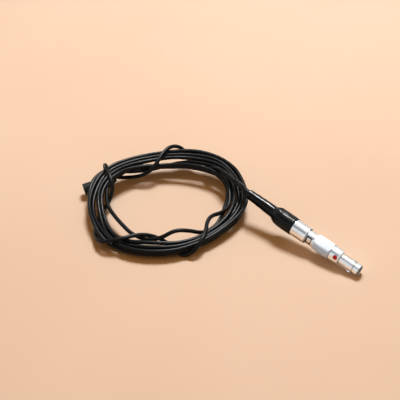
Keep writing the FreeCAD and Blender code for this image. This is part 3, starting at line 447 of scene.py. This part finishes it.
def woven(name, dark, light, scale, rough, metallic, axes):
    """Crossing strands, for the screen's braid and the acoustic cloth."""
    mat, nt, bsdf, coord = new_material(name)
    own = axis_map(nt, coord.outputs["Object"], *axes)
    height = None
    for turn in (0.7, -0.7):
        m = nt.nodes.new("ShaderNodeMapping")
        m.inputs["Rotation"].default_value = (turn, turn, 0.0)
        nt.links.new(own, m.inputs["Vector"])
        w = nt.nodes.new("ShaderNodeTexWave")
        w.wave_type = "BANDS"
        w.bands_direction = "Y"
        w.inputs["Scale"].default_value = scale
        nt.links.new(m.outputs[0], w.inputs["Vector"])
        if height is None:
            height = w.outputs["Fac"]
        else:
            mx = nt.nodes.new("ShaderNodeMath")
            mx.operation = "MAXIMUM"
            nt.links.new(height, mx.inputs[0])
            nt.links.new(w.outputs["Fac"], mx.inputs[1])
            height = mx.outputs[0]
    col = ramp(nt, height, [(0.2, dark), (0.9, light)])
    nt.links.new(col.outputs["Color"], bsdf.inputs["Base Color"])
    bsdf.inputs["Metallic"].default_value = metallic
    rr = span(nt, height, rough + 0.1, rough - 0.05)
    nt.links.new(rr.outputs["Result"], bsdf.inputs["Roughness"])
    b = bump(nt, height, 0.6, 0.00008)
    nt.links.new(b.outputs["Normal"], bsdf.inputs["Normal"])
    return mat


braid = woven("braid_copper", (0.30, 0.12, 0.06), (0.78, 0.42, 0.24), 900.0, 0.32, 1.0, PLUG_AXES)
cloth = woven("mesh_cloth", (0.02, 0.02, 0.022), (0.10, 0.10, 0.105), 1500.0, 0.7, 0.0, HEAD_AXES)

def shade_painted_bands(mat, axes, u_from, u_to, stops):
    """Paints shade into a turned piece's colour in its corners and grooves:
    stops are (u in mm, how bright) along its axis."""
    nt = mat.node_tree
    bsdf = nt.nodes["Principled BSDF"]
    link = bsdf.inputs["Base Color"].links[0]
    source = link.from_socket
    coord = nt.nodes["Texture Coordinate"]
    own = axis_map(nt, coord.outputs["Object"], *axes)
    sep = nt.nodes.new("ShaderNodeSeparateXYZ")
    nt.links.new(own, sep.inputs[0])
    m = nt.nodes.new("ShaderNodeMapRange")
    m.inputs["From Min"].default_value = u_from * MM
    m.inputs["From Max"].default_value = u_to * MM
    nt.links.new(sep.outputs["X"], m.inputs["Value"])
    r = ramp(nt, m.outputs["Result"], [((u - u_from) / (u_to - u_from), (g, g, g * 0.98)) for u, g in stops])
    mix = nt.nodes.new("ShaderNodeMix")
    mix.data_type = "RGBA"
    mix.blend_type = "MULTIPLY"
    mix.inputs["Factor"].default_value = 1.0
    nt.links.new(source, mix.inputs[6])
    nt.links.new(r.outputs["Color"], mix.inputs[7])
    nt.links.new(mix.outputs[2], bsdf.inputs["Base Color"])
    return mat


# painted shade: the nut's two ends and the nose's rear edge, groove and front edge are darkened in the colour
nut_metal = shade_painted_bands(metal("nickel_nut", (0.80, 0.81, 0.83), (0.92, 0.92, 0.92), 0.13, 0.03, PLUG_AXES, grain=0.12)[0], PLUG_AXES, 24.0, 32.0,
                   [(24.5, 0.3), (24.68, 1.0), (31.25, 1.0), (31.36, 0.30), (31.5, 0.22)])
nose_metal = shade_painted_bands(metal("nickel_nose", (0.80, 0.81, 0.83), (0.92, 0.92, 0.92), 0.13, 0.03, PLUG_AXES, grain=0.12)[0], PLUG_AXES, 47.0, 58.0,
                    [(47.9, 0.3), (48.2, 1.0), (53.95, 1.0), (54.1, 0.62), (54.50, 0.62), (54.64, 1.0), (56.55, 1.0), (56.75, 0.45)])

FINISH = {
    "jacket": jacket, "relief_rubber": relief_rubber, "shrink_black": shrink,
    "nickel_polished": polished, "nickel_satin": satin, "bronze_gold": bronze,
    "index_red": index_red, "insulator_grey": insulator, "carrier_metal": carrier,
    "wire_cover": wire_cover, "braid_copper": braid, "head_black": head_black,
    "capsule_metal": capsule, "board_green": board, "mesh_cloth": cloth,
}
for name in sorted(nodes):
    for slot in nodes[name].material_slots:
        base = slot.material.name.split(".")[0]
        slot.material = FINISH[base]
nodes["clamp_nut"].material_slots[0].material = nut_metal
nodes["inner_shell"].material_slots[0].material = nose_metal


def finish_with(obj, *mats):
    for m in mats:
        obj.data.materials.append(m)


finish_with(cord, jacket)
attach(cord, "cable_body")
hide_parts("cable_in_plug", "cable_lead", "cable_coil", "cable_tail")

# ---------------------------------------------------------------------------
# relief sleeve: a dull soft tube on the cord, from inside the boot to 20 mm
# past it, where its end tapers down on the cord
# ---------------------------------------------------------------------------
S_RELIEF = 6.0 * MM                     # front end, inside the boot
S_BOOT = 25.0 * MM                      # the cord leaves the boot here
RELIEF_END = 45.5 * MM


def relief_outer(t):
    s = S_RELIEF + (RELIEF_END - S_RELIEF) * t
    r = 1.2 * MM
    left = RELIEF_END - s
    if left < 7 * MM:
        r -= 0.17 * MM * (1 - left / (7 * MM)) ** 1.5

    def around(a):
        p = Vector((s * 900, 1.6 * math.cos(a), 1.6 * math.sin(a)))
        lump = noise.noise(p + Vector((1.3, 4.1, 2.2)))
        rib = 0.5 + 0.5 * math.sin(s * 5600 + 1.1 * math.sin(a + 0.4))
        return r + (0.055 * lump - 0.045 * rib ** 2) * MM
    return around


relief = tube_along("relief_tube", S_RELIEF, RELIEF_END, 320, relief_outer, lambda t: 0.865 * MM)
finish_with(relief, relief_rubber)
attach(relief, "cable_body")
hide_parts("relief_sleeve")

# ---------------------------------------------------------------------------
# heat-shrink boot: a glossy tube shrunk over the relief sleeve and the nut,
# with lengthwise creases where it necks down
# ---------------------------------------------------------------------------
BOOT = [(0.0, 2.00), (1.0, 2.05), (3.0, 2.14), (5.0, 2.23), (7.0, 2.33), (9.0, 2.43), (11.0, 2.50), (12.6, 2.55),
        (13.6, 2.62), (14.3, 2.86), (14.9, 3.22), (15.5, 3.56), (16.2, 3.76), (17.2, 3.83), (19.0, 3.84),
        (21.0, 3.84), (23.0, 3.84), (23.9, 3.83), (24.5, 3.78)]
BU = [p[0] for p in BOOT]
BR = [p[1] for p in BOOT]
BEND_TO = Vector((0.57048781, 0.51312147, 0.64128778))
BEND = [(0.0, 0.72), (5.0, 0.63), (10.0, 0.44), (13.0, 0.30), (17.0, 0.10), (21.0, 0.0), (24.5, 0.0)]


def boot_at(u, y, z):
    off = float(np.interp(u, [b[0] for b in BEND], [b[1] for b in BEND]))
    return plug_at(u, y, z) + BEND_TO * off * MM


def boot_shape(u, a, r):
    if r < 0:
        return -r
    p = Vector((u * 0.55, 2.2 * math.cos(a), 2.2 * math.sin(a)))
    soft = noise.noise(p * 0.8 + Vector((3.1, 1.7, 9.2)))
    fine = noise.noise(Vector((u * 0.9, 5.0 * math.cos(a), 5.0 * math.sin(a))) + Vector((7.7, 2.2, 0.4)))
    near = math.exp(-((u - 15.2) / 2.4) ** 2)
    wide = min(1.0, max(0.0, (u - 15.0) / 3.0)) * min(1.0, max(0.0, (24.5 - u) / 2.5))
    folds = 0.5 + 0.5 * math.sin(9 * a + 1.2 * math.sin(2 * a) + 0.25 * u)
    wrinkle = 0.5 + 0.5 * math.sin(13 * a + 1.5 * math.sin(3 * a + 0.6) + 0.5 * math.sin(0.9 * u))
    edge = min(1.0, max(0.0, (24.5 - u) / 1.0))
    return r + 0.035 * soft + (0.02 + 0.05 * near) * fine - 0.10 * near * folds ** 2 * edge - 0.045 * wide * wrinkle ** 3


steps_out = np.concatenate([np.linspace(0.0, 12.5, 34), np.linspace(12.5, 18.5, 44)[1:], np.linspace(18.5, 24.5, 20)[1:]])
profile = [(u, float(np.interp(u, BU, BR))) for u in steps_out]
profile[0] = (0.06, profile[0][1] - 0.10)
profile.insert(1, (0.0 + 0.22, float(np.interp(0.2, BU, BR))))
profile[-1] = (24.5, 3.72)
inner = [(24.5, -3.36), (17.6, -3.34), (16.9, -3.30), (13.6, -2.10), (9.0, -1.80), (4.0, -1.50), (0.0, -1.30)]
boot = lathe("boot_shrunk", profile + inner, boot_at, 120, shape=boot_shape, crease=50.0)
finish_with(boot, shrink)
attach(boot, "cable_body")
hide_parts("heat_shrink_boot")

# ---------------------------------------------------------------------------
# release sleeve: smooth neck with a milled recess on each side, grip with
# lengthwise grooves, fine line, smooth ring with the seat of the dot
# ---------------------------------------------------------------------------
POCKET = (31.75, 34.45)         # along the axis
POCKET_MID, POCKET_HALF = 1.83, 0.58
POCKET_FLOOR = 2.62
POCKET_PAD = 2.74                # the middle stands a little above the frame round it; its warm tan colour is a painted reflection


def in_pocket(u, a):
    if not POCKET[0] - 0.01 <= u <= POCKET[1] + 0.01:
        return False
    for mid in (POCKET_MID, POCKET_MID + math.pi):
        d = (a - mid + math.pi) % (2 * math.pi) - math.pi
        if abs(d) <= POCKET_HALF:
            return True
    return False


def on_pad(u, a):
    if not POCKET[0] + 0.62 <= u <= POCKET[1] - 0.42:
        return False
    for mid in (POCKET_MID, POCKET_MID + math.pi):
        d = (a - mid + math.pi) % (2 * math.pi) - math.pi
        if -POCKET_HALF + 0.20 <= d <= POCKET_HALF - 0.16:
            return True
    return False


def sleeve_shape(u, a, r):
    if r < 2.6:
        return r
    if abs(r - 2.9) < 0.005 and in_pocket(u, a):
        return POCKET_PAD if on_pad(u, a) else POCKET_FLOOR
    if 35.4 < u < 43.0 and r > 3.15:
        # thirty-six grooves, each with worn shoulders
        ph = (a * 36 / (2 * math.pi)) % 1.0
        d = abs(ph - 0.5) * 2
        ends = min(1.0, (u - 35.4) / 0.25, (43.0 - u) / 0.25)
        return r - 0.13 * ends * max(0.0, 1.0 - d / 0.62)
    if 44.9 < u < 47.1 and r > 3.3:
        # the seat of the dot
        y, w = r * math.cos(a), u - DOT_U
        if math.sin(a) > 0 and y * y + w * w < 0.92 ** 2:
            return r - 0.30
    return r


DOT_U = 46.3
AROUND = 216
us = [(29.4, 2.56), (29.4, 2.82), (29.48, 2.9), (31.0, 2.9), (31.55, 2.9), (POCKET[0] - 0.02, 2.9)]
us += [(u, 2.9) for u in np.linspace(POCKET[0], POCKET[1], 26)]
us += [(POCKET[1] + 0.02, 2.9), (34.9, 2.9), (35.05, 2.9), (35.1, 2.94), (35.1, 3.02), (35.25, 3.10), (35.5, 3.20), (35.9, 3.31), (36.4, 3.38), (36.9, 3.4)]
us += [(u, 3.4) for u in np.linspace(37.0, 42.98, 36)]
us += [(43.1, 3.4), (43.26, 3.395), (43.33, 3.33), (43.43, 3.33), (43.5, 3.395), (43.7, 3.4), (44.3, 3.4)]
us += [(u, 3.4) for u in np.linspace(44.92, 47.08, 34)]
us += [(47.3, 3.4), (47.5, 3.39), (47.66, 3.33), (47.76, 3.24), (47.8, 3.14), (47.8, 2.66), (47.7, 2.56)]
grip = lathe("sliding_sleeve", us, plug_at, AROUND, shape=sleeve_shape, crease=28.0)
finish_with(grip, polished, satin, painted_shade_nickel, painted_reflection_nickel)
# the fine line, the recess's walls and floor, the dot's seat and the bore get the near-black nickel: painted shade
for poly in grip.data.polygons:
    rel = (Vector(poly.center) / MM - PLUG_O / MM)
    u, y, z = rel.dot(PLUG_X), rel.dot(PLUG_Y), rel.dot(PLUG_Z)
    r, a = math.hypot(y, z), math.atan2(z, y) % (2 * math.pi)
    if 35.1 < u < 43.28 and r > 3.2:
        poly.material_index = 1
    elif 43.28 < u < 43.5 and r > 3.0:
        poly.material_index = 2
    elif 31.7 < u < 34.6 and r > 2.6:
        # the recess's raised middle gets the warm tan nickel: a painted reflection of the floor
        if abs(r - POCKET_PAD) < 0.012 and on_pad(u, a):
            poly.material_index = 3
        elif r < 2.885:
            poly.material_index = 2
    elif r < 3.25 and 45.0 < u < 47.5:
        poly.material_index = 2
    elif r < 2.6:
        poly.material_index = 2
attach(grip, "release_sleeve")
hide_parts("release_sleeve")

# index dot: crowned enamel in its seat
DOT = [(0.0, 3.44), (0.18, 3.437), (0.36, 3.428), (0.50, 3.41), (0.62, 3.385), (0.72, 3.35), (0.79, 3.31), (0.83, 3.26), (0.84, 3.18), (0.84, 3.12), (0.0, 3.12)]
dverts, dfaces = [], []
for q, zz in DOT[1:-1]:
    for k in range(40):
        a = 2 * math.pi * k / 40
        dverts.append(plug_at(DOT_U + q * math.cos(a), q * math.sin(a), zz))
for i in range(len(DOT) - 3):
    for k in range(40):
        m = (k + 1) % 40
        dfaces.append((i * 40 + k, i * 40 + m, (i + 1) * 40 + m, (i + 1) * 40 + k))
top, low = len(dverts), len(dverts) + 1
dverts += [plug_at(DOT_U, 0.0, DOT[0][1]), plug_at(DOT_U, 0.0, DOT[-1][1])]
last = (len(DOT) - 3) * 40
for k in range(40):
    m = (k + 1) % 40
    dfaces.append((top, m, k))
    dfaces.append((low, last + k, last + m))
dot = make_object("enamel_dot", dverts, dfaces, crease=50.0)
bm = bmesh.new()
bm.from_mesh(dot.data)
bmesh.ops.recalc_face_normals(bm, faces=bm.faces)
bm.to_mesh(dot.data)
bm.free()
finish_with(dot, index_red)
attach(dot, "release_sleeve")
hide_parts("index_dot")

# ---------------------------------------------------------------------------
# floor and light
# ---------------------------------------------------------------------------
floor = make_object("floor", [(-2, -2, 0), (2, -2, 0), (2, 2, 0), (-2, 2, 0)], [(0, 1, 2, 3)], smooth=False)
fmat, fnt, fbsdf, fcoord = new_material("pale_floor")
fcol = ramp(fnt, noise_node(fnt, fcoord.outputs["Object"], 6.0, 3.0, 0.5).outputs["Fac"], [(0.3, (0.78, 0.615, 0.485)), (0.7, (0.83, 0.67, 0.54))])
fnt.links.new(fcol.outputs["Color"], fbsdf.inputs["Base Color"])
fbsdf.inputs["Roughness"].default_value = 0.75
fbsdf.inputs["Specular IOR Level"].default_value = 0.05
finish_with(floor, fmat)


def soft_light(name, toward, distance, size, power, colour=(1, 1, 1), target=(-6, 12, 4)):
    data = bpy.data.lights.new(name, "AREA")
    data.shape = "DISK"
    data.size = size
    data.energy = power
    data.color = colour
    obj = bpy.data.objects.new(name, data)
    d = Vector(toward).normalized()
    at = Vector(target) * MM
    obj.location = at + d * distance
    obj.rotation_euler = (-d).to_track_quat("-Z", "Y").to_euler()
    scene.collection.objects.link(obj)
    return obj


soft_light("key", (0.12, 0.42, 0.90), 0.80, 0.26, 5.7, (1.0, 1.0, 0.99))
# the same window as it shows in black gloss
glint = soft_light("key_glint", (0.12, 0.42, 0.90), 0.78, 0.18, 5.0, (1.0, 0.99, 0.97))
glint.visible_diffuse = False
glint.visible_camera = False
# warm fill from all round, for the shadows; it is left out of the reflections
for k, (toward, power) in enumerate([((0, 0, 1), 1.6), ((1, 0, 0.7), 0.95), ((-1, 0, 0.7), 0.95), ((0, -1, 0.7), 0.95), ((0, 1, 0.7), 0.95)]):
    fill = soft_light("fill_%d" % k, toward, 0.9, 1.0, power, (1.0, 0.52, 0.18))
    fill.visible_glossy = False
    fill.visible_camera = False
# a white room, seen in the reflections only, with one dark corner overhead
world = bpy.data.worlds.new("surround")
world.use_nodes = True
scene.world = world
world.cycles_visibility.diffuse = False
wnt = world.node_tree
bg = wnt.nodes["Background"]
wco = wnt.nodes.new("ShaderNodeTexCoord")
wdot = wnt.nodes.new("ShaderNodeVectorMath")
wdot.operation = "DOT_PRODUCT"
wdot.inputs[1].default_value = (-0.51, -0.25, 0.82)
wnt.links.new(wco.outputs["Generated"], wdot.inputs[0])
wcol = ramp(wnt, wdot.outputs["Value"], [(0.0, (0.80, 0.81, 0.82)), (0.945, (0.80, 0.81, 0.82)), (0.978, (0.30, 0.33, 0.38)), (1.0, (0.22, 0.25, 0.29))])
wnt.links.new(wcol.outputs["Color"], bg.inputs["Color"])
bg.inputs["Strength"].default_value = 1.0
